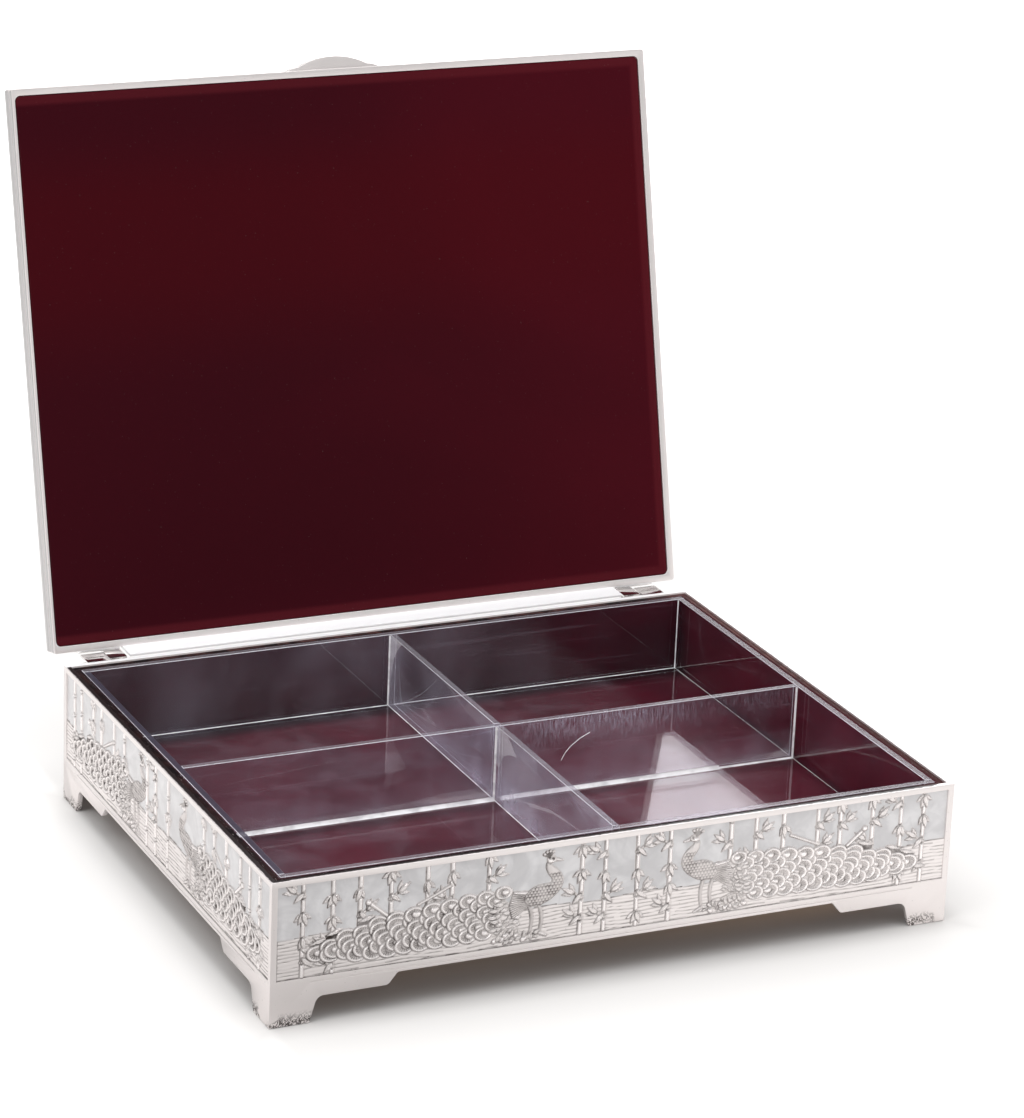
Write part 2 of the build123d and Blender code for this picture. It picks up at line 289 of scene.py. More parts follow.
frieze = bmesh.new()
for side, (place, run) in side_frames.items():
    face = bmesh.new()
    bmesh.ops.create_grid(face, x_segments=3, y_segments=3, size=1.5)
    columns = [-run / 2, corner_strip - run / 2, run / 2 - corner_strip, run / 2]
    levels = [plinth_height, panel_bottom, panel_top, rim_height]
    for v in face.verts:
        v.co = (columns[round(v.co.x + 1.5)], levels[round(v.co.y + 1.5)], 0)
    middle = [f for f in face.faces if not any(e.is_boundary for e in f.edges)]
    grown = bmesh.ops.extrude_discrete_faces(face, faces=middle)["faces"]
    bmesh.ops.translate(face, vec=(0, 0, -recess), verts=grown[0].verts)
    bmesh.ops.transform(face, matrix=place, verts=face.verts)
    join(frieze, face)
bmesh.ops.remove_doubles(frieze, verts=frieze.verts, dist=1e-6)
inner_x, inner_front, inner_back = box_length / 2 - casting, front_y + casting, back_y - casting
loops = []
for level in (rim_height, plinth_height):
    loop = [
        e for e in frieze.edges
        if e.is_boundary and all(abs(v.co.z - level) < 1e-6 for v in e.verts)
    ]
    turned = bmesh.ops.extrude_edge_only(frieze, edges=loop)["geom"]
    for v in (g for g in turned if isinstance(g, bmesh.types.BMVert)):
        v.co.x = min(max(v.co.x, -inner_x), inner_x)
        v.co.y = min(max(v.co.y, inner_front), inner_back)
    loops += [g for g in turned if isinstance(g, bmesh.types.BMEdge) and g.is_boundary]
bmesh.ops.bridge_loops(frieze, edges=loops)
bmesh.ops.recalc_face_normals(frieze, faces=frieze.faces)
rounded_edges(frieze, frieze_round, keep=on_seam)
# A near-white copy of the plate, painted lighter than the silver, for the back rim's top, the lid's
# flange and the lid's lower rim, as painted light.
satin_painted_light, start = new_finish("satin plate")
brushed = start.noise(300, 3, stretch=(0.1, 1, 1))
coated(start, {
    "Base Color": brushed.mix((0.9, 0.895, 0.91), (0.97, 0.965, 0.98)),
    "Metallic": 0.05,
    "Roughness": 0.55 + brushed * 0.1,
    "Normal": brushed.bump(0.00005, 0.3),
})
rim_plate, start = new_finish("rim with lapped paint")
spot_x, spot_y = start.place("X"), start.place("Y")
edge_x = box_length / 2 - abs(spot_x)
edge_y = box_width / 2 - abs(spot_y - middle_y)
edge = start.math("MINIMUM", edge_x, edge_y) + start.noise(700, 3) * 0.0008
lap_width, end_zone = 1.2 * mm, (118 * mm, 123 * mm)
lap = lap_width - (0 - spot_x).between(*end_zone) * (0.4 * mm)
lap = lap + spot_x.between(*end_zone) * lap_width
paint = (edge - lap).between(-0.0001, 0.0001)
shade = start.noise(500, 3)
coated(start, {
    "Base Color": paint.mix((0.765, 0.725, 0.72), (0.014, 0.009, 0.01)),
    "Metallic": 0.72 - paint * 0.72,
    "Roughness": 0.3 + shade * 0.25,
    "Normal": shade.bump(0.00008, 0.4),
})
frame_ring = piece(frieze, "frieze_frame", [silver, satin_painted_light, rim_plate],
                   stands_for=[side + "_frieze" for side in sides])
edge_zone = 0.3 * mm
for face in frame_ring.data.polygons:
    if face.normal.z > 0.5 and face.center.z > rim_height - edge_zone:
        face.material_index = 1 if face.center.y > inner_back - 0.1 * mm else 2


# Relief panels. Bamboo stands in rippled water between two peacocks; each
# panel is cast with its frame, plated, and darkened in its deepest corners.
# Painted shade darkens the left and lower sides of each shape's groove and
# the panel's left and bottom edges; raised parts are painted lighter as a
# highlight.
class Relief:
    """Heights in millimetres and wear of a cast panel, laid from back to front.

    Places and sizes across the panel are in drawing units of scale millimetres."""

    ground, pool, top = 0.15, 0.62, 0.97
    groove_rim, groove_floor = 0.42, 0.4

    def __init__(self, wide, tall, scale, pitch, seed):
        self.wide, self.tall, self.scale = wide / scale, tall / scale, scale
        self.columns, self.rows = round(wide / pitch[0]), round(tall / pitch[1])
        self.u, self.v = np.meshgrid(
            np.linspace(-self.wide / 2, self.wide / 2, self.columns + 1),
            np.linspace(0, self.tall, self.rows + 1),
        )
        self.height = np.full_like(self.u, self.ground)
        self.wear_and_shade = np.zeros_like(self.u)
        self.chance = np.random.default_rng(seed)

    def part(self, points, reach):
        """The slice of the grid that lies within reach of these points."""
        us, vs = [p[0] for p in points], [p[1] for p in points]
        reach += 0.8
        step_u, step_v = self.wide / self.columns, self.tall / self.rows
        left = int((min(us) - reach + self.wide / 2) / step_u)
        right = int((max(us) + reach + self.wide / 2) / step_u) + 2
        low, high = int((min(vs) - reach) / step_v), int((max(vs) + reach) / step_v) + 2
        return slice(max(low, 0), max(high, 0)), slice(max(left, 0), max(right, 0))

    def lay(self, part, inside, heights, wear_and_shade=0):
        """Lay one shape over the others, with a dark groove round it, painted darker at its left
        and foot as shade.

        inside is how far each point lies within the shape's outline."""
        if min(inside.shape) < 2:
            return
        across, up = np.gradient(inside, axis=1), np.gradient(inside, axis=0)
        # The groove is painted darker on the shape's left and lower sides, as shade from light
        # above and to the right.
        shaded_side = (0.85 * across + 0.4 * up) / np.maximum(np.hypot(across, up), 1e-6)
        outline = np.clip(1 - np.abs(inside + 0.14) / 0.31, 0, 1)
        outline = outline * np.clip(0.72 + 0.55 * shaded_side, 0.22, 1)
        under = self.height[part]
        shallow = self.groove_rim + 0.3 * (under - self.groove_rim)
        groove = np.maximum(np.minimum(under, shallow), self.groove_floor)
        near = (inside <= 0) & (outline > 0.05)
        self.height[part] = np.where(inside > 0, heights, np.where(near, groove, under))
        beside = np.maximum(self.wear_and_shade[part], outline)
        self.wear_and_shade[part] = np.where(inside > 0, np.maximum(wear_and_shade, outline), beside)

    def along_line(self, part, points, radii):
        """How far each point lies within a stem, and its share of the radius."""
        inside = np.full_like(self.u[part], -9.0)
        share = inside.copy()
        count = len(points) - 1
        for index, (start, end) in enumerate(zip(points, points[1:])):
            run = (end[0] - start[0], end[1] - start[1])
            du, dv = self.u[part] - start[0], self.v[part] - start[1]
            square = max(run[0] ** 2 + run[1] ** 2, 1e-9)
            along = np.clip((du * run[0] + dv * run[1]) / square, 0, 1)
            radius = radii[0] + (radii[1] - radii[0]) * (index + along) / count
            away = np.hypot(du - along * run[0], dv - along * run[1])
            share = np.where(radius - away > inside, away / radius, share)
            inside = np.maximum(inside, radius - away)
        return inside, share

    def stem(self, points, radii, top, base=groove_rim, wear_and_shade=0):
        """A round stem along a line of points, from its first radius to its last."""
        part = self.part(points, max(radii))
        inside, share = self.along_line(part, points, radii)
        self.lay(part, inside, base + (top - base) * np.sqrt(np.clip(1 - share**2, 0, 1)), wear_and_shade)

    def leaf(self, root, angle, long, wide, top=top):
        """A pointed bamboo leaf, its edges raised and its middle folded down."""
        tip = (root[0] + long * math.cos(angle), root[1] + long * math.sin(angle))
        part = self.part([root, tip], wide / 2)
        du, dv = self.u[part] - root[0], self.v[part] - root[1]
        along = (du * math.cos(angle) + dv * math.sin(angle)) / long
        across = dv * math.cos(angle) - du * math.sin(angle)
        half = wide / 2 * np.sin(math.pi * np.clip(along, 0, 1) ** 0.75)
        beyond = np.maximum(0, np.maximum(-along, along - 1)) * long
        inside = half - np.hypot(across, beyond)
        fold = np.exp(-((across / (0.14 * wide)) ** 2))
        self.lay(part, inside, top * (0.97 - 0.22 * fold), 0.16 * fold * (half > 0.3 * wide))

    def feather(self, middle, outward, size, pit):
        """An eye feather of the train: rim, hatched disc, smooth oval eye and a pit."""
        part = self.part([middle], max(size))
        across = (self.u[part] - middle[0]) / size[0] * outward
        up = (self.v[part] - middle[1]) / size[1]
        radius, angle = np.hypot(across, up), np.arctan2(up, across)
        hatch = (0.5 + 0.5 * np.cos(16 * angle)) ** 1.5 * (radius > 0.3)
        shape, wear_and_shade = 0.56 + 0.11 * hatch, 0.2 + 0.62 * hatch
        rim = 1 - np.clip(np.abs(radius - 0.87) / 0.14, 0, 1) ** 2
        shape = np.where(rim > 0, 0.66 + 0.31 * rim, shape)
        wear_and_shade = np.where(rim > 0, 0.3 * (1 - rim) ** 2, wear_and_shade)
        oval = np.hypot((across + 0.22) / 0.4, (up - 0.02) / 0.36)
        # The groove round the eye is painted darker on its outer, lower side, as shade.
        shade = np.clip(0.62 + 1.2 * across - 0.6 * up, 0, 1)
        ring = np.exp(-(((oval - 1.22) / 0.24) ** 2)) * shade
        dome = 0.7 + 0.27 * np.sqrt(np.clip(1 - oval**2, 0, 1))
        shape = np.where(oval < 1, dome, shape - 0.16 * ring)
        wear_and_shade = np.where(oval < 1, 0.1 * oval**4, np.maximum(wear_and_shade, 0.95 * ring))
        hole = np.clip(1.7 - np.hypot((across - 0.33) / 0.23, (up - 0.05) / 0.27), 0, 1) * pit
        shape = (shape - 0.06 * hole) * self.top
        self.lay(part, (1 - radius) * min(size), shape, np.maximum(wear_and_shade, hole))

    def water(self, level):
        """Rippled water: flat silver cut by long wandering lines."""
        u, v = self.u, self.v
        sway = 0.42 * np.sin(u / 11.0) + 0.2 * np.sin(u / 5.1 + 1.3)
        sway = sway + 0.12 * np.sin(u / 2.3 + 0.9 * v)
        phase = (v + sway) / 1.3
        line = np.floor(phase)
        wide = 0.11 + 0.035 * np.sin(u / 7.0 + line * 2.9)
        cut = np.exp(-((((phase % 1.0) - 0.5) / wide) ** 2))
        cut *= 1 - 0.85 * (np.sin(u / 8.1 + line * 2.4) + 0.5 * np.sin(u / 3.9 + line * 5.1) > 1.0)
        below = level(u) - v
        self.height = np.where(below > 0, self.pool - 0.16 * cut, self.height)
        bank = np.clip(1 - np.abs(below) / 0.35, 0, 1)
        self.wear_and_shade = np.where(below > 0, np.maximum(0.68 * cut, bank), self.wear_and_shade)

    def plumage(self, part, inside, pitch):
        """Small overlapping scales within an outline."""
        u, v = self.u[part] / pitch[0], self.v[part] / pitch[1]
        across = (u + 0.5 * (np.floor(v) % 2)) % 1.0 - 0.5
        edge = np.hypot(across * 1.9, (v % 1.0) - 0.1)
        dip = np.clip(edge - 0.45, 0, 0.5) * 2 * (inside > 0.15)
        self.height[part] -= 0.14 * dip
        self.wear_and_shade[part] = np.maximum(self.wear_and_shade[part], 0.85 * dip)


def bend(start, pull, end):
    """Nine points of a smooth bend from start to end, drawn towards pull."""
    return [
        tuple((1 - t) ** 2 * start[i] + 2 * t * (1 - t) * pull[i] + t * t * end[i] for i in (0, 1))
        for t in np.linspace(0, 1, 9)
    ]


def spray(panel, node, direction, count):
    """Leaves that fan out from one joint of a cane, the outer ones laid first."""
    chance = panel.chance
    panel.stem([node, (node[0], node[1] - 0.3)], (0.4, 0.3), 0.6, 0.5, 0.9)
    turns = [(index - (count - 1) / 2) * 0.62 for index in range(count)]
    for turn in sorted(turns, key=abs, reverse=True):
        long = 4.7 - 0.9 * abs(turn) + chance.uniform(-0.5, 0.5)
        panel.leaf(node, direction + turn + chance.uniform(-0.12, 0.12), long, 1.45)


def cane(panel, u, low, leafy):
    """A bamboo cane in joints, with leaf sprays and twigs at the leafy share of them."""
    chance, top = panel.chance, panel.top
    v, radius = low - chance.uniform(1, 5), chance.uniform(0.64, 0.74)
    lean = chance.uniform(-0.01, 0.01)
    joints = []
    while v < panel.tall:
        high = v + chance.uniform(7.0, 9.0)
        panel.stem([(u + lean * v, v), (u + lean * high, high)], (radius, radius * 0.93), top, 0.5)
        joints.append((u + lean * high, high))
        radius *= 0.97
        v = high
    for across, up in joints:
        panel.stem([(across - 0.55, up), (across + 0.55, up)], (0.42, 0.42), top, 0.8)
    for index, (across, up) in enumerate(joints[:-1]):
        if leafy < 1 and chance.uniform() > leafy:
            continue
        kind = (index + chance.integers(0, 2)) % 3
        way = 1 if chance.uniform() > 0.5 else -1
        if kind == 1:
            twig = (across + way * 2.6, up + 2.0)
            panel.stem([(across, up), twig], (0.36, 0.26), 0.8 * top)
            spray(panel, twig, math.pi / 2 - way, 3)
        hang = -math.pi / 2 + way * (0, 0.8, 0.2)[kind]
        spray(panel, (across, up + 1.4), hang, (4, 1, 3)[kind])


def peacock(panel, u, facing, rows, pits):
    """A standing peacock whose train of eye feathers reaches away from its face.

    Each row of the train has a height, where it starts and ends behind the bird,
    and how far its end droops; pits is the share of feathers with a pit."""
    chance, top = panel.chance, panel.top
    backwards = math.pi * (facing > 0)

    def at(along, up):
        return (u + along * facing, up)

    train = []
    for row, (level, first, last, droop) in enumerate(rows):
        count = max(2, round((last - first) / 6.0))
        for index in range(count + 1):
            share = index / count
            place = first + (last - first) * share
            up = level - droop * share + chance.uniform(-0.25, 0.25)
            train.append((place, row, (u - facing * place, up)))
    for index in range(7):
        level, _, last, droop = rows[index % len(rows)]
        tip = at(-last - chance.uniform(1.0, 3.5), level - droop + chance.uniform(-2, 1))
        panel.leaf(tip, backwards + facing * chance.uniform(-0.7, 0.5), 4.4, 1.4)
    # Dark pockets beyond the ends of the top three rows are painted shadow in the deep gaps there.
    for level, _, last, droop in rows[:3]:
        high = level - droop
        pocket = [at(-last - 2.0, high + 1.5), at(-last - 6.5, high + 0.5)]
        panel.stem(pocket, (1.35, 0.6), 0.6, 0.55, 0.95)
        panel.leaf(at(-last - 1.5, high + 3.1), backwards + facing * 0.28, 6.0, 1.2)
    for place, _, middle in sorted(train, key=lambda f: (-f[0], f[1])):
        grow = 0.72 + 0.28 * min(place / 36, 1)
        panel.feather(middle, -facing, (3.6 * grow, 2.8 * grow), chance.uniform() < pits)
    for index in range(44):
        root = at(-7.0 - 9.0 * index / 43, 5.0 + 11.5 * chance.uniform())
        turn = backwards + facing * chance.uniform(-0.3, 0.6)
        panel.leaf(root, turn, chance.uniform(2.6, 3.6), 1.25, 0.92 * top)

    for foot in (3.6, 0):
        leg = bend(at(-0.2 - foot, 13.0), at(1.4 - foot, 9.0), at(-foot, 3.2))
        panel.stem(leg, (0.52, 0.34), top, wear_and_shade=0.2)
        for toe in (-1.9, 1.7, 2.7):
            toe_tip = at(toe - foot, 2.5 - 0.25 * toe)
            panel.stem([at(-foot, 3.2), toe_tip], (0.42, 0.26), 0.9 * top)
    for index in range(12):
        share = index / 11
        tip = at(-11.0 + 2.6 * abs(share - 0.45), 10.2 + 8.8 * share)
        plume = bend(at(-1.0, 15.4 + 2.4 * share), at(-6.0, 13.2 + 5.2 * share), tip)
        panel.stem(plume, (0.72, 0.36), (0.84 + 0.12 * (index % 2)) * top, 0.6)

    part = panel.part([at(-1, 20)], 13)
    du, dv = (panel.u[part] - u) * facing, panel.v[part] - 17.0
    along, across = du * 0.96 + dv * 0.28, dv * 0.96 - du * 0.28
    round_off = np.minimum(np.hypot(along / 5.7, across / 3.5), 1.5)
    body = (1 - round_off) * 3.5
    curve = bend(at(2.6, 17.2), at(9.0, 20.6), at(4.2, 24.9))
    curve += bend(at(4.2, 24.9), at(1.8, 27.2), at(3.6, 29.2))
    neck, share = panel.along_line(part, curve, (2.5, 0.55))
    both = np.maximum(body, neck)
    rise = np.where(body > neck, 1 - round_off**2, 1 - np.minimum(share, 1) ** 2)
    panel.lay(part, both, (0.66 + 0.31 * np.sqrt(np.clip(rise, 0, 1))) * top + 0.02, 0.14)
    panel.plumage(part, np.where(dv < 7.6, both, -1), (1.25, 1.05))
    beak, crown, eye = (at(5.0, 29.2), at(7.8, 28.4)), (at(3.4, 29.3), at(4.4, 29.3)), at(4.3, 29.6)
    panel.stem(beak, (0.62, 0.16), 0.9 * top)
    panel.stem(crown, (1.25, 1.05), 1.01 * top, 0.6)
    panel.stem([eye, at(4.4, 29.6)], (0.3, 0.3), 0.7 * top, 0.6, 0.9)
    for index in range(4):
        fan = math.radians(62 + 27 * index)
        tip = (3.0 + 2.6 * math.cos(fan), 30.0 + 2.3 * math.sin(fan))
        panel.stem([at(3.0, 30.0), at(*tip)], (0.22, 0.3), 0.8 * top, 0.5, 0.85)
        panel.stem([at(*tip), at(tip[0] + 0.05, tip[1])], (0.42, 0.42), 0.96 * top)
    for index in range(26):
        along = -2.5 - 0.55 * index + chance.uniform(-0.6, 0.6)
        stone = at(along, 0.9 + chance.uniform(0, 3.0))
        if index % 2:
            end = (stone[0] + chance.uniform(-0.9, 0.9), stone[1] + 0.4)
            panel.stem([stone, end], (chance.uniform(0.6, 0.9), 0.5), 0.9 * top, 0.5)
        else:
            panel.leaf(stone, chance.uniform(0.2, 2.9), 2.6, 1.1, 0.95 * top)


def grove(wide, tall, scale, pitch, seed, stand, pits, leafy=1.0):
    """The whole composition, mirrored about the middle of the panel.

    Sizes are in millimetres; stand is the peacocks' place as a share of the width."""
    panel = Relief(wide, tall, scale, pitch, seed)
    wide, top, half = panel.wide, panel.top, panel.wide / 2

    def shore(u):
        rise = np.clip((np.abs(u) / half - 0.62) / 0.3, 0, 1)
        return 12.3 + 0.45 * np.sin(u / 6.0) + 2.6 * rise * rise * (3 - 2 * rise)

    panel.water(shore)
    stand = stand * wide
    reach = half - stand
    cane_pitch, outermost = 11.2, half - 9.0
    last = int((half + 2.0) // cane_pitch)
    for step in range(-last, last):
        place = cane_pitch * (step + 0.5) + 1.4 * math.sin(2.4 * step)
        place = min(max(place, -outermost), outermost)
        if abs(abs(place) - stand) < 9:
            continue
        behind = stand + 3 < abs(place) < stand + 0.72 * reach
        cane(panel, place, 13 if behind else 0, leafy)
    rows = [
        (19.6, 13.5, 0.62 * reach, 4.2),
        (16.9, 16.5, 0.74 * reach, 4.6),
        (14.2, 14.0, 0.8 * reach, 4.4),
        (11.4, 18.0, 0.85 * reach, 3.2),
        (8.6, 17.0, 0.8 * reach, 1.7),
        (5.9, 20.5, 0.7 * reach, 0.3),
    ]
    for facing in (1, -1):
        knob = (facing * (0.345 * wide + 6.5), 23.5)
        panel.stem([(facing * 0.345 * wide, 18.0), knob], (0.5, 0.55), 0.9 * top, 0.5)
        panel.stem([knob, knob], (0.95, 0.95), top, 0.5)
        branch = [(facing * 0.255 * wide, 25.0), (facing * 0.3 * wide, 20.0)]
        panel.stem(branch, (0.42, 0.36), 0.8 * top, 0.5)
        peacock(panel, -facing * stand, facing, rows, pits)
    # Painted shade along the panel's left and bottom edges, under the frame.
    edge = np.minimum(panel.v * 0.8, panel.u + half)
    panel.wear_and_shade = np.maximum(panel.wear_and_shade, 0.9 * np.clip(1 - edge / 0.5, 0, 1))
    return panel


def cast(panel, place, name, body):
    """A closed slab with the relief on its face, and its wear, painted shade and painted highlight
    as a layer.
    """
    wide, tall = panel.wide * panel.scale, panel.tall * panel.scale
    slab = bmesh.new()
    bmesh.ops.create_grid(slab, x_segments=panel.columns, y_segments=panel.rows, size=0.5)
    layer = slab.verts.layers.float.new("patina_and_painted_light")
    # Raised parts are painted lighter as a highlight, over a small lift of the whole face for light
    # that the recess shades off; hollows that are worn keep their patina.
    buffed_and_highlit = 0.1 + 0.18 * np.clip((panel.height - 0.7) / 0.2, 0, 1)
    patina_and_painted_light = panel.wear_and_shade - buffed_and_highlit * np.clip(1 - panel.wear_and_shade / 0.12, 0, 1)
    for v in slab.verts:
        cell = round((v.co.y + 0.5) * panel.rows), round((v.co.x + 0.5) * panel.columns)
        v[layer] = patina_and_painted_light[cell]
        v.co = (v.co.x * wide * mm, (v.co.y + 0.5) * tall * mm, panel.height[cell] * mm)
    edges = [e for e in slab.edges if e.is_boundary]
    skirt = bmesh.ops.extrude_edge_only(slab, edges=edges)["geom"]
    for v in (g for g in skirt if isinstance(g, bmesh.types.BMVert)):
        v.co.z = 0
    rim = [g for g in skirt if isinstance(g, bmesh.types.BMEdge) and g.is_boundary]
    bmesh.ops.edgeloop_fill(slab, edges=rim)
    bmesh.ops.recalc_face_normals(slab, faces=slab.faces)
    bmesh.ops.transform(slab, matrix=place, verts=slab.verts)
    piece(slab, name, [silver], body, smooth=1.2)


panel_tall = (panel_top - panel_bottom) / mm
hinge_low, hinge_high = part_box("right_box_leaf")
hinge_middle = (hinge_low.x + hinge_high.x) / 2 / mm
pad_half, pad_tall, pad_height = 9.5, 10.9, 0.99
for side, (place, run) in side_frames.items():
    wide = (run - 2 * corner_strip) / mm
    seed, pits, leafy = (11, 0, 1.0) if run == box_length else (23, 0.95, 0.5)
    panel = grove(wide, panel_tall, 1.0, (0.275, 0.315), seed, 0.122, pits, leafy)
    if side == "back":
        pad = np.abs(np.abs(panel.u) - hinge_middle) < pad_half
        pad &= panel.v > panel_tall - pad_tall
        panel.height[pad], panel.wear_and_shade[pad] = pad_height, 0
    sunk = Matrix.Translation((0, panel_bottom, -recess))
    cast(panel, place @ sunk, side + "_relief", "box")


# Pearl enamel. Cold enamel in two greys is flooded between the canes above
# the water line, swirled, and left glossy and level.
pearl, start = new_finish("pearl enamel")
swirl = start.noise(60, 4, warp=1.6)
vein = 1 - abs(start.noise(75, 3, warp=1.4) - 0.5).between(0, 0.1)
grey = swirl.between(0.35, 0.68).mix((0.56, 0.55, 0.56), (0.7, 0.69, 0.7))
coated(start, {
    "Base Color": (vein * 0.22).mix(grey, (0.46, 0.455, 0.47)),
    "Roughness": 0.32 + swirl * 0.12,
    "Coat Weight": 0.7,
    "Coat Roughness": 0.06,
    "Normal": start.noise(160, 2).bump(0.0001, 0.25),
})


def refinish(name, material):
    """Give a CAD node that needs no more shape its finish."""
    nodes[name].data.materials.clear()
    nodes[name].data.materials.append(material)


refinish("lid_enamel", pearl)
for name in [side + "_enamel" for side in sides]:
    low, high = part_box(name)
    flood = bmesh.new()
    bmesh.ops.create_cube(flood, size=1)
    for v in flood.verts:
        v.co = [(low[i] + high[i]) / 2 + v.co[i] * (high[i] - low[i]) for i in range(3)]
    piece(flood, name + "_flood", [pearl], stands_for=[name])


# Lacquered carcass. A board floor and four walls are sprayed burgundy and
# polished; the sawn top edges are brushed nearly black, with painted glints.
lacquer, start = new_finish("burgundy lacquer")
depth = start.noise(26, 3, warp=0.8)
flow = start.noise(90, 2) * 0.6 + start.noise(900, 2) * 0.4
specks = start.noise(1500, 1).between(0.745, 0.8)
wine = depth.between(0.3, 0.7).mix((0.075, 0.0035, 0.0125), (0.108, 0.0045, 0.0165))
spot_x, spot_y = start.place("X"), start.place("Y")
# The back wall is painted nearly black, less so towards the right end, as painted shade.
behind = spot_y.between(0.054, 0.062) * (0.74 - 0.24 * spot_x.between(0.04, 0.09))
wine = behind.mix(wine, (0.008, 0.002, 0.004))
coated(start, {
    "Base Color": (specks * 0.5).mix(wine, (0.22, 0.15, 0.15)),
    "Roughness": 0.3 + depth * 0.12,
    "Specular IOR Level": 0.1,
    "Coat Weight": 0.85,
    "Coat Roughness": 0.05,
    "Coat IOR": 1.45,
    "Normal": flow.bump(0.00008, 0.2),
})
edge_paint, start = new_finish("liner edge paint")
carcass_low, carcass_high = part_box("left_liner")[0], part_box("right_liner")[1]
spot_x, spot_y = start.place("X"), start.place("Y")
reach_x = abs(spot_x) - carcass_high.x
reach_y = abs(spot_y - middle_y) - (carcass_high.y - carcass_low.y) / 2
across = 0 - start.math("MAXIMUM", reach_x, reach_y) + start.noise(40, 2) * 0.0005
rail_width = 0.6 * mm
rail = start.math("PINGPONG", across, rail_width) * (1 / rail_width)
streak = start.noise(160, 3)
# Glints are painted highlights.
glint = start.noise(1900, 2).between(0.66, 0.74)
brown = streak.between(0.35, 0.7).mix((0.006, 0.003, 0.004), (0.026, 0.01, 0.01))
# The rubbed rails are painted lighter only where lit, towards the back and right, as painted light;
# the right wall's top is drawn a lighter brown.
lit = (spot_x * 0.5 + spot_y).between(-0.02, 0.06)
brown = (spot_x.between(0.112, 0.118) * 0.75).mix(brown, (0.06, 0.018, 0.019))
rubbed_and_lit_rail = rail.between(0.55, 0.95) * streak.between(0.35, 0.6) * lit
brown = rubbed_and_lit_rail.mix(brown, (0.22, 0.09, 0.085))
coated(start, {
    "Base Color": glint.mix(brown, (0.35, 0.31, 0.31)),
    "Roughness": 0.55 + streak * 0.2,
    "Specular IOR Level": 0.08,
    "Normal": start.noise(1300, 2).bump(0.00012, 0.5),
})
liner_round = 0.25 * mm
for side in sides:
    wall = copied(side + "_liner")
    rounded_edges(wall, liner_round)
    made = piece(wall, side + "_liner_wall", [lacquer, edge_paint],
                 stands_for=[side + "_liner"])
    for face in made.data.polygons:
        face.material_index = 1 if face.normal.z > 0.5 else 0
refinish("floor_board", lacquer)


# Base cover. Burgundy flocked card is glued under the floor board so that
# the box doesn't scratch a table.
flock, start = new_finish("flocked card")
fibre = start.noise(2200, 2)
coated(start, {
    "Base Color": fibre.mix((0.03, 0.003, 0.006), (0.075, 0.008, 0.016)),
    "Roughness": 0.95,
    "Sheen Weight": 0.6,
    "Sheen Roughness": 0.5,
    "Specular IOR Level": 0.1,
    "Normal": fibre.bump(0.0003, 0.6),
})
refinish("base_cover", flock)


# Clear tray. A floor, four walls and two halved dividers are sawn from clear
# sheet and glued; sawn edges are painted a glowing lavender, glue runs white
# in the corners.
def clear_sheet(name, milky, cleaner=(1, 0, 0), clean=(-0.05, 0.05),
                speckled=0, glued=0, gloss=0.015, rubbed=(0.03, 1, 1)):
    """Clear sheet with a little haze: milky is the share of light that it scatters.

    The haze thins out towards cleaner, between the two distances of clean;
    speckled adds a rubbed band and glued adds haze beside the glued joints.
    rubbed is the stretch of the fine scratches."""
    material, start = new_finish(name)
    thin = start.along(cleaner).between(*clean)
    spot_x, spot_y, height = start.place("X"), start.place("Y"), start.place("Z")
    facing = start.node("LayerWeight", {}, {"Blend": 0.5}, "Facing")
    mirror = 0.045 + 0.95 * facing**5
    haze = start.noise(55, 3, stretch=(1, 1, 0.12), warp=0.5).between(0.4, 0.85)
    smear = start.noise(22, 3, stretch=(1, 1, 0.6), warp=1.5).between(0.45, 0.75)
    scratch = start.noise(480, 2, stretch=rubbed).between(0.66, 0.73)
    share = milky * (0.35 + 0.9 * haze + 0.8 * smear) * (1 - 0.75 * thin) + scratch * 0.035
    if speckled:
        grain = start.noise(2300, 2, stretch=(1, 1, 0.12)).between(0.42, 0.66)
        band = height.between(0.037, 0.049) * spot_x.between(-0.01, 0.03)
        band = band * (1 - 0.7 * spot_x.between(0.05, 0.085))
        share = share + grain * band * speckled
    if glued:
        low = (1 - height.between(0.0215, 0.04)) ** 1.5
        ends = abs(spot_y - middle_y).between(0.08, 0.0985) ** 1.5
        share = share + start.math("MAXIMUM", low, ends) * (0.45 + 0.9 * haze) * glued
    see = start.node("BsdfTransparent", {}, {"Color": (0.975, 0.965, 0.985)})
    shine = start.node("BsdfGlossy", {}, {"Color": (1, 1, 1), "Roughness": gloss})
    milk = start.node("BsdfDiffuse", {}, {"Color": (0.8, 0.77, 0.92)})
    sheet = start.node("MixShader", {}, {0: mirror, 1: see, 2: shine})
    start.node("MixShader", {}, {0: share, 1: sheet, 2: milk}).shown()
    return material


rubbed_along_y = (1, 0.03, 1)
end_sheet = clear_sheet("clear end sheet", 0.014, rubbed=rubbed_along_y)
stocks = {
    "tray_floor": clear_sheet("handled clear floor", 0.046, clean=(0.08, 0.098), gloss=0.04),
    "tray_front_wall": clear_sheet("clear sheet", 0.014),
    "tray_back_wall": clear_sheet("dulled clear sheet", 0.036, (1, 0, 1.35), (0.098, 0.128)),
    "tray_left_wall": end_sheet,
    "tray_right_wall": end_sheet,
    "long_divider": clear_sheet(
        "rubbed clear sheet", 0.145, cleaner=(0, 1, 0), glued=0.26, rubbed=rubbed_along_y
    ),
    "cross_divider": clear_sheet(
        "handled clear sheet", 0.029, clean=(0.09, 0.12), speckled=0.28, glued=0.17
    ),
}


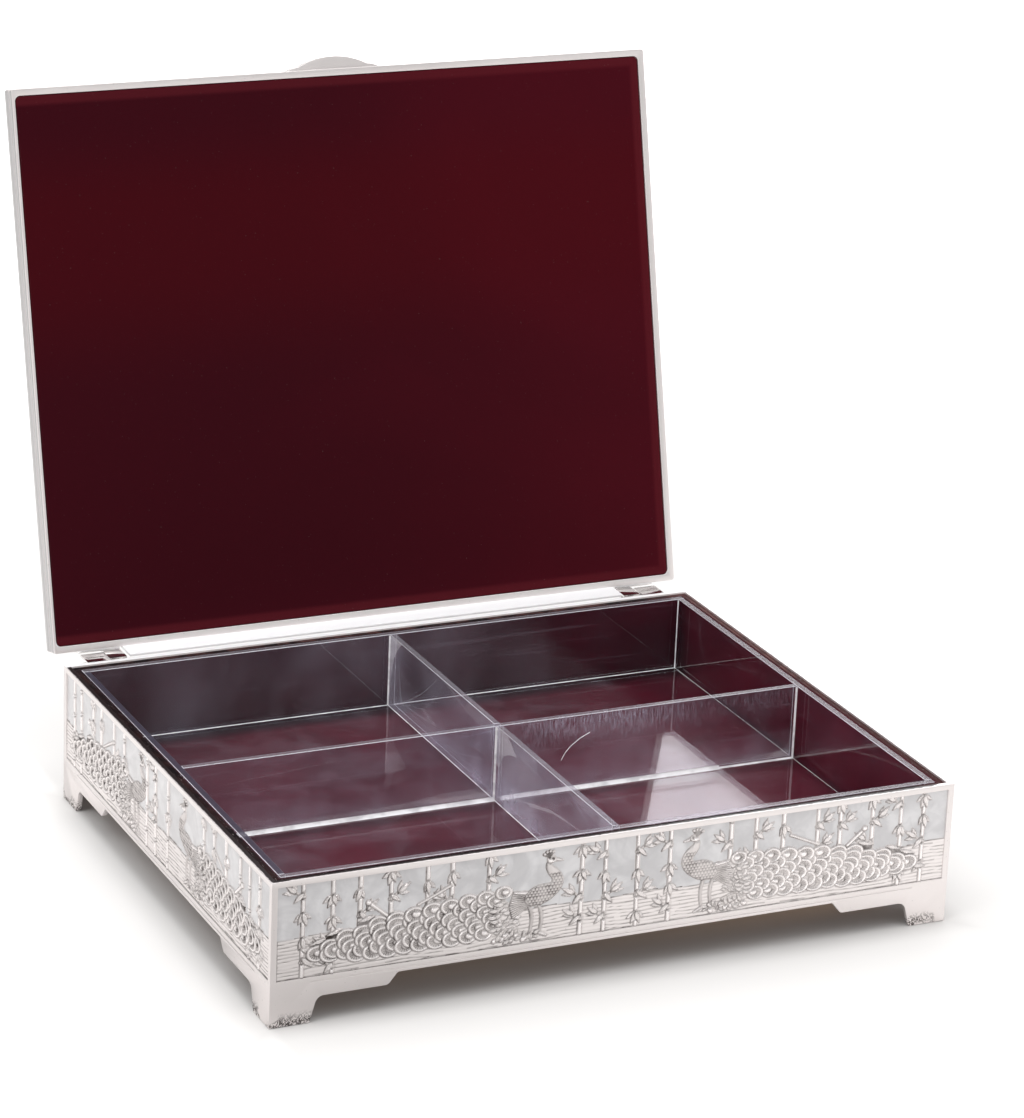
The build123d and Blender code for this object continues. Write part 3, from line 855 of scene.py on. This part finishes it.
def half_clear(start, share, tint, sockets):
    """Close a material that lets the rest of the light straight through, tinted."""
    through = start.node("BsdfTransparent", {}, {"Color": tint})
    solid = start.node("BsdfPrincipled", {}, sockets)
    start.node("MixShader", {}, {0: share, 1: through, 2: solid}).shown()


def cut_edge(name, share, tone, blue=1.06):
    """A sawn or flamed edge whose colour is painted with the glow of the light that the sheet
    gathers.
    """
    material, start = new_finish(name)
    marks = start.noise(900, 2)
    dull = (tone * 0.8, tone * 0.78, tone * 0.82 * blue)
    half_clear(start, share * (0.75 + marks * 0.5), (0.92, 0.91, 0.95), {
        "Base Color": marks.mix(dull, (tone, tone * 0.98, tone * blue)),
        "Roughness": 0.3,
        "Coat Weight": 0.5,
        "Coat Roughness": 0.08,
    })
    return material


# The plain edge is painted glowing, the rounded top corners carry a painted highlight, and the left
# wall's top a painted shade.
sawn = cut_edge("sawn sheet edge", 0.26, 0.62)
highlight_edge = cut_edge("bright sheet corner", 0.72, 0.8)
shaded = cut_edge("shaded sheet edge", 0.8, 0.072, 1.4)

sheet_round = 0.2 * mm
for name, stock in stocks.items():
    sheet = copied(name)
    rounded_edges(sheet, sheet_round, 1)
    finishes = [stock, shaded if name == "tray_left_wall" else sawn, highlight_edge]
    made = piece(sheet, "clear_" + name, finishes, "tray", stands_for=[name])
    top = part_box(name)[1].z
    for face in made.data.polygons:
        if name != "tray_floor" and face.center.z > top - edge_zone:
            face.material_index = 1 if face.normal.z > 0.9 else 2 if face.normal.z > 0.3 else 0

glue, start = new_finish("clear glue")
bubbles = start.noise(260, 3, stretch=(0.5, 0.5, 1))
half_clear(start, 0.62 + 0.35 * bubbles.between(0.35, 0.58), (0.95, 0.94, 0.97), {
    "Base Color": (0.97, 0.96, 0.98),
    "Roughness": 0.25,
    "Coat Weight": 0.6,
    "Coat Roughness": 0.05,
})
beads = bmesh.new()


def run_bead(start, end, corner, size):
    """A bead of glue along a joint, its back in the corner and its face hollow."""
    start, end = Vector(start), Vector(end)
    side_a, side_b = (Vector(way) * size for way in corner)
    shifts = (Vector(), side_a, (side_a + side_b) * 0.36, side_b)
    face = beads.faces.new([beads.verts.new(start + shift) for shift in shifts])
    grown = bmesh.ops.extrude_face_region(beads, geom=[face])["geom"]
    moved = [g for g in grown if isinstance(g, bmesh.types.BMVert)]
    bmesh.ops.translate(beads, vec=end - start, verts=moved)


left_wall, right_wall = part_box("tray_left_wall"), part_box("tray_right_wall")
front_wall, back_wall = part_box("tray_front_wall"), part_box("tray_back_wall")
inner_low = Vector((left_wall[1].x, front_wall[1].y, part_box("tray_floor")[1].z))
inner_high = Vector((right_wall[0].x, back_wall[0].y, left_wall[1].z))
long_low, long_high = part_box("long_divider")
cross_low, cross_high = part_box("cross_divider")
stops_x = ((inner_low.x, 1), (long_low.x, -1), (long_high.x, 1), (inner_high.x, -1))
stops_y = ((inner_low.y, 1), (cross_low.y, -1), (cross_high.y, 1), (inner_high.y, -1))
bead_top = inner_high.z - 0.4 * mm
posts = (
    (0.3, 0.3, 0.3, 0.3),
    (0.3, 0.6, 0.15, 0.45),
    (0.2, 0.15, 0.15, 0.15),
    (0.3, 0.55, 0.25, 0.32),
)
for (x, x_way), sizes in zip(stops_x, posts):
    for (y, y_way), size in zip(stops_y, sizes):
        corner = ((x_way, 0, 0), (0, y_way, 0))
        run_bead((x, y, inner_low.z), (x, y, bead_top), corner, size * mm)
thinner = 89 * mm
rails = zip(stops_y, (0.25, 1.2, 0.2, 0.22), (0.25, 0.55, 0.12, 0.2))
for (y, y_way), size, rest in rails:
    for x0, x1, wide in (
        (inner_low.x, long_low.x, size),
        (long_high.x, thinner, size),
        (thinner, inner_high.x, rest),
    ):
        corner = ((0, y_way, 0), (0, 0, 1))
        run_bead((x0, y, inner_low.z), (x1, y, inner_low.z), corner, wide * mm)
for (x, x_way), size in zip(stops_x, (0.2, 0.22, 0.12, 0.08)):
    for y0, y1 in ((inner_low.y, cross_low.y), (cross_high.y, inner_high.y)):
        corner = ((x_way, 0, 0), (0, 0, 1))
        run_bead((x, y0, inner_low.z), (x, y1, inner_low.z), corner, size * mm)
thread = [
    Vector((x * mm, cross_low.y, z * mm))
    for x, z in ((24.7, 34.6), (26.2, 37.4), (28.3, 39.7), (31.9, 42.3), (35.8, 44.1))
]
for low, high in zip(thread, thread[1:]):
    run_bead(low, high, ((0, -1, 0), (0, 0, 1)), 0.2 * mm)
bmesh.ops.recalc_face_normals(beads, faces=beads.faces)
piece(beads, "tray_glue", [glue], "tray")


# Lid. A cast and plated frame with a thumb tab in front, a fine groove round
# its edge, and a flange along the back that lies on the rim when it's open.
open_angle = math.radians(104)
under_lid = Vector((0, -math.sin(open_angle), -math.cos(open_angle)))
lid_back = Vector((0, math.cos(open_angle), -math.sin(open_angle)))
lid_up = -under_lid
pin_low, pin_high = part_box("left_hinge_pin")
pin = Vector((0, (pin_low.y + pin_high.y) / 2, (pin_low.z + pin_high.z) / 2))
hinge_back = pin.y - back_y
lining_margin = 2.5 * mm
lining_x, lining_y = box_length / 2 - lining_margin, box_width / 2 - lining_margin


def close_fit(mesh):
    """Tighten the corners of the lining, or of its pocket, and widen its left end."""
    radius, tighter, widen, inside_face = 3.5 * mm, 2.0 * mm, 1.3 * mm, 9 * mm
    for v in mesh.verts:
        up = (v.co - pin).dot(lid_up)
        along = -(v.co - pin).dot(lid_back) - hinge_back - box_width / 2
        if up > inside_face or abs(v.co.x) > lining_x + 1 * mm or abs(along) > lining_y + 1 * mm:
            continue
        over_x, over_w = abs(v.co.x) - lining_x + radius, abs(along) - lining_y + radius
        away = math.hypot(over_x, over_w)
        if over_x > -1e-6 and over_w > -1e-6 and away > 1e-6:
            reach = (tighter - radius + away) / away
            new_x = lining_x - tighter + over_x * reach
            new_along = lining_y - tighter + over_w * reach
            v.co -= lid_back * (math.copysign(new_along, along) - along)
            v.co.x = math.copysign(new_x, v.co.x)
        if v.co.x < -100 * mm:
            v.co.x -= widen


lid_shell = copied("lid_frame")
close_fit(lid_shell)
lid_round = 0.14 * mm
rounded_edges(lid_shell, lid_round)
# A darker grey copy of the plate for the lid's two ends, painted shade, brushed and crossed by fine
# dark lines.
shaded_end_plate, start = new_finish("brushed lid edge")
level = start.along(under_lid, pin)
brushed = start.node(
    "TexNoise", {"noise_dimensions": "1D"}, {"W": level, "Scale": 1600, "Detail": 3}
)
groove_pitch = 1.3 * mm
line = 1 - (start.math("PINGPONG", level, groove_pitch) * 1000).between(0.06, 0.32)
grey = brushed.between(0.3, 0.7).mix((0.43, 0.42, 0.425), (0.6, 0.59, 0.595))
coated(start, {
    "Base Color": (line * 0.55).mix(grey, (0.16, 0.15, 0.15)),
    "Metallic": 0.6,
    "Roughness": 0.34,
    "Normal": brushed.bump(0.00006, 0.4),
})
shell = piece(lid_shell, "lid_shell", [silver, satin_painted_light, shaded_end_plate], "lid",
              stands_for=["lid_frame"])
hinge_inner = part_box("right_lid_leaf")[0].x
flange_reach, flange_top = back_y + 12 * mm, rim_height + 0.5 * mm
low_rim_top, side_face = rim_height + 9 * mm, box_length / 2 - 1.5 * mm
for face in shell.data.polygons:
    flange = back_y < face.center.y < flange_reach and abs(face.center.x) < hinge_inner
    flange = flange and face.center.z < flange_top
    low_rim = face.normal.dot(under_lid) > 0.9 and face.center.z < low_rim_top
    side_on = abs(face.normal.x) > 0.9 and abs(face.center.x) > side_face
    face.material_index = 1 if flange or low_rim else 2 if side_on else 0

lid_border = 9.0 * mm
pin_drop, lid_gap, lid_thick = 4.2 * mm, 0.3 * mm, 8.0 * mm
lid_panel_floor = pin_drop + lid_gap + lid_thick - recess
wide, tall = (box_length - 2 * lid_border) / mm, (box_width - 2 * lid_border) / mm
panel = grove(wide, tall, 2.0, (0.74, 0.76), 31, 0.16, 0.35)
corner = pin - lid_back * (hinge_back + box_width - lid_border) + lid_up * lid_panel_floor
turn = Matrix(((1, 0, 0), lid_back, lid_up)).transposed().to_4x4()
cast(panel, Matrix.Translation(corner) @ turn, "lid_relief", "lid")


# Lining board. A panel with a rounded edge is sprayed burgundy, flatted and
# waxed, and pressed into the lid so that only a thin silver rim shows.
lining, start = new_finish("lining lacquer")
drift = start.noise(7, 3, warp=0.8)
nap = start.noise(300, 3, stretch=(1, 0.25, 0.25))
dust = start.noise(1700, 1).between(0.775, 0.8)
spot_x, up_lid = start.place("X"), start.along(-lid_back, pin)
margin_y = abs(up_lid - (hinge_back + box_width / 2)) - lining_y
margin = start.math("MAXIMUM", spot_x - lining_x, margin_y)
# A lighter band inside the edges is painted sheen on the lining's rounded edge.
painted_edge_sheen = margin.between(-0.0045, -0.0026)
# The lining is painted lighter towards the right, as painted light.
shine = (spot_x * 3.6 + drift).between(0.25, 1.15)
deep = shine.mix((0.034, 0.001, 0.0044), (0.053, 0.0014, 0.0058))
# A redder band across the middle height is a painted reflection.
painted_reflection_band = up_lid.between(0.095, 0.145) * (1 - up_lid.between(0.165, 0.2))
deep = (painted_reflection_band * 0.42).mix(deep, (0.06, 0.0006, 0.0026))
deep = (painted_edge_sheen * 0.45).mix(deep, (0.1, 0.0095, 0.015))
coated(start, {
    "Base Color": (dust * 0.25).mix(deep, (0.25, 0.18, 0.18)),
    "Roughness": 0.42 + nap * 0.1,
    "Specular IOR Level": 0.02,
    "Coat Weight": 0.075,
    "Coat Roughness": 0.12,
    "Normal": nap.bump(0.00005, 0.2),
})
board = copied("lining_board")
close_fit(board)
large, inset = 0.01, 0.4 * mm
flats = [f for f in board.faces if f.calc_area() > large]
bmesh.ops.inset_individual(board, faces=flats, thickness=inset)
piece(board, "lining_panel", [lining], "lid", stands_for=["lining_board"])


# Hinges. Each has a leaf stamped from plated sheet on the box, one on the
# lid, a headed pin, and two rivets through each leaf.
hinge_metal, start = new_finish("plated hinge sheet")
brush = start.noise(420, 3, stretch=(0.12, 1, 1))
coated(start, {
    "Base Color": brush.mix((0.8, 0.78, 0.775), (0.9, 0.885, 0.88)),
    "Metallic": 1.0,
    "Roughness": 0.07 + brush * 0.1,
    "Normal": brush.bump(0.00003, 0.25),
})
hinge_round = 0.1 * mm
for side in ("left", "right"):
    for part, ending, body in (
        ("_box_leaf", "_plate", "box"),
        ("_lid_leaf", "_plate", "lid"),
        ("_hinge_pin", "_turned", "box"),
    ):
        leaf = side + part
        plate = copied(leaf)
        rounded_edges(plate, hinge_round)
        piece(plate, leaf + ending, [hinge_metal], body, stands_for=[leaf])

rivet_profile = [(0, 0.55), (0.55, 0.5), (1.0, 0.3), (1.2, 0), (1.2, -0.25)]


def rivet(mesh, place, axis):
    """One domed rivet head, turned about its axis."""
    head = bmesh.new()
    line = [head.verts.new((r * mm, 0, z * mm)) for r, z in rivet_profile]
    edges = [head.edges.new(pair) for pair in zip(line, line[1:])]
    bmesh.ops.spin(head, geom=line + edges, cent=(0, 0, 0), axis=(0, 0, 1), dvec=(0, 0, 0),
                   angle=2 * math.pi, steps=20, use_merge=True, use_duplicate=False)
    bmesh.ops.remove_doubles(head, verts=head.verts, dist=1e-6)
    bmesh.ops.edgeloop_fill(head, edges=[e for e in head.edges if e.is_boundary])
    bmesh.ops.recalc_face_normals(head, faces=head.faces)
    lean = Vector((0, 0, 1)).rotation_difference(axis).to_matrix().to_4x4()
    bmesh.ops.transform(head, matrix=Matrix.Translation(place) @ lean, verts=head.verts)
    join(mesh, head)


leaf_thick, rivet_shift = 0.8 * mm, 4.5 * mm
box_row = Vector((0, back_y + leaf_thick, rim_height - 7.9 * mm))
lid_row = pin - lid_back * (hinge_back - leaf_thick) + lid_up * 8.4 * mm
for body, row, axis in (("box", box_row, Vector((0, 1, 0))), ("lid", lid_row, lid_back)):
    heads = bmesh.new()
    for side in ("left", "right"):
        low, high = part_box(f"{side}_{body}_leaf")
        for shift in (-rivet_shift, rivet_shift):
            rivet(heads, Vector(((low.x + high.x) / 2 + shift, row.y, row.z)), axis)
    piece(heads, body + "_rivets", [hinge_metal], body)


# Studio. A white table and surround with soft lamps, and a camera at the
# photograph's place and lens.
paper, start = new_finish("white table")
path = start.ray("Camera")
far = start.node("VectorMath", {"operation": "LENGTH"}, {0: start.place()}, "Value")
spot_x, spot_y = start.place("X"), start.place("Y")
away_x = abs(spot_x) - box_length / 2
away_y = abs(spot_y - middle_y) - box_width / 2
away = start.math("MAXIMUM", away_x, away_y)
# Painted light: the table glows brighter for the camera just outside the box's edges and beside its
# left end, to shape the shadow's edge.
painted_light_beside_box = 0.17 * away.between(-0.003, 0.012) + 0.1 * away.between(0.005, 0.045)
painted_light_beside_box = painted_light_beside_box + 0.1 * (0 - spot_x).between(box_length / 2 - 0.003, box_length / 2 + 0.002)
# Painted warm bounce light glows under the box, stronger towards the right.
under = 0.026 + 0.055 * spot_x.between(-0.02, 0.11)
low = 0.02 + under * (1 - away.between(-0.03, -0.01))
seen = path * (low + painted_light_beside_box + 0.6 * far.between(0.32, 0.8))
seen = seen + start.ray("Transmission") * 0.06 + start.ray("Glossy") * 0.02
# Seen in reflections, the table is painted darker in front of the box, more towards its left end,
# as shade; for the camera its own colour is turned down and made up by the glow.
corner = (0.07 - spot_x).between(0, 0.18) * (0 - spot_y).between(0.125, 0.15)
shade = path * 0.34 + (1 - path) * (0.1 + corner * 0.38)
tone = shade.mix((0.95, 0.93, 0.915), (0, 0, 0))
matt = start.node("BsdfDiffuse", {}, {"Color": tone})
near = away.between(-0.01, 0).mix((1, 0.64, 0.38), (1, 1, 1))
glow = start.node("Emission", {}, {"Color": near, "Strength": seen})
start.node("AddShader", {}, {0: matt, 1: glow}).shown()
table = bmesh.new()
bmesh.ops.create_grid(table, x_segments=1, y_segments=1, size=14)
bmesh.ops.translate(table, vec=(0, 0, -0.2 * mm), verts=table.verts)
ground = added(table, "table", [paper])

world = bpy.data.worlds.new("white surround")
bpy.context.scene.world = world
world.use_nodes = True
world.node_tree.nodes.clear()
start = Socket(world.node_tree)
side_on, back, up = (start.place(way, "Generated") for way in "XYZ")
sky = up.between(-0.05, 0.9)
middle = up.between(0.18, 0.42) * (1 - up.between(0.6, 0.95))
front = (0 - back).between(0, 0.7)
level = (0.58 + 0.4 * sky + 0.26 * side_on.between(0.1, 0.8)) * (1 - 0.5 * front * middle)
level = level + 0.45 * front * (1 - up.between(0.12, 0.38)) * start.ray("Diffuse")
window = start.along((0.457, 0.795, 0.398), kind="Generated")
level = level + window.between(0.93, 0.985) * 2.2
strength = level + start.ray("Camera") * (1 - level)
backdrop = start.node("Background", {}, {"Color": (1, 1, 1), "Strength": strength})
start.node("OutputWorld", {}, {"Surface": backdrop})


def lamp(name, place, target, size, power):
    """A soft square studio lamp aimed at a point."""
    light = bpy.data.lights.new(name, "AREA")
    light.shape = "SQUARE"
    light.size = size
    light.energy = power
    made = bpy.data.objects.new(name, light)
    made.location = place
    made.rotation_euler = (Vector(target) - Vector(place)).to_track_quat("-Z", "Y").to_euler()
    bpy.context.scene.collection.objects.link(made)


lamp("overhead", (-0.15, -0.35, 1.9), (0, 0, 0), 1.4, 13)
lamp("key", (-1.4, -0.3, 1.4), (0, 0, 0.05), 1.2, 8.8)
lamp("front fill", (-0.7, -2.6, 0.45), (0, 0, 0.05), 1.0, 6)

lens = bpy.data.cameras.new("camera")
lens.lens = 136.93
lens.sensor_width = 36
lens.clip_start = 0.01
lens.clip_end = 60
view = bpy.data.objects.new("camera", lens)
view.location = (-0.599, -1.3035, 0.6134)
view.rotation_euler = (math.radians(70.39), math.radians(-2.25), math.radians(-24.56))
bpy.context.scene.collection.objects.link(view)
bpy.context.scene.camera = view
bpy.context.scene.view_settings.view_transform = "Standard"
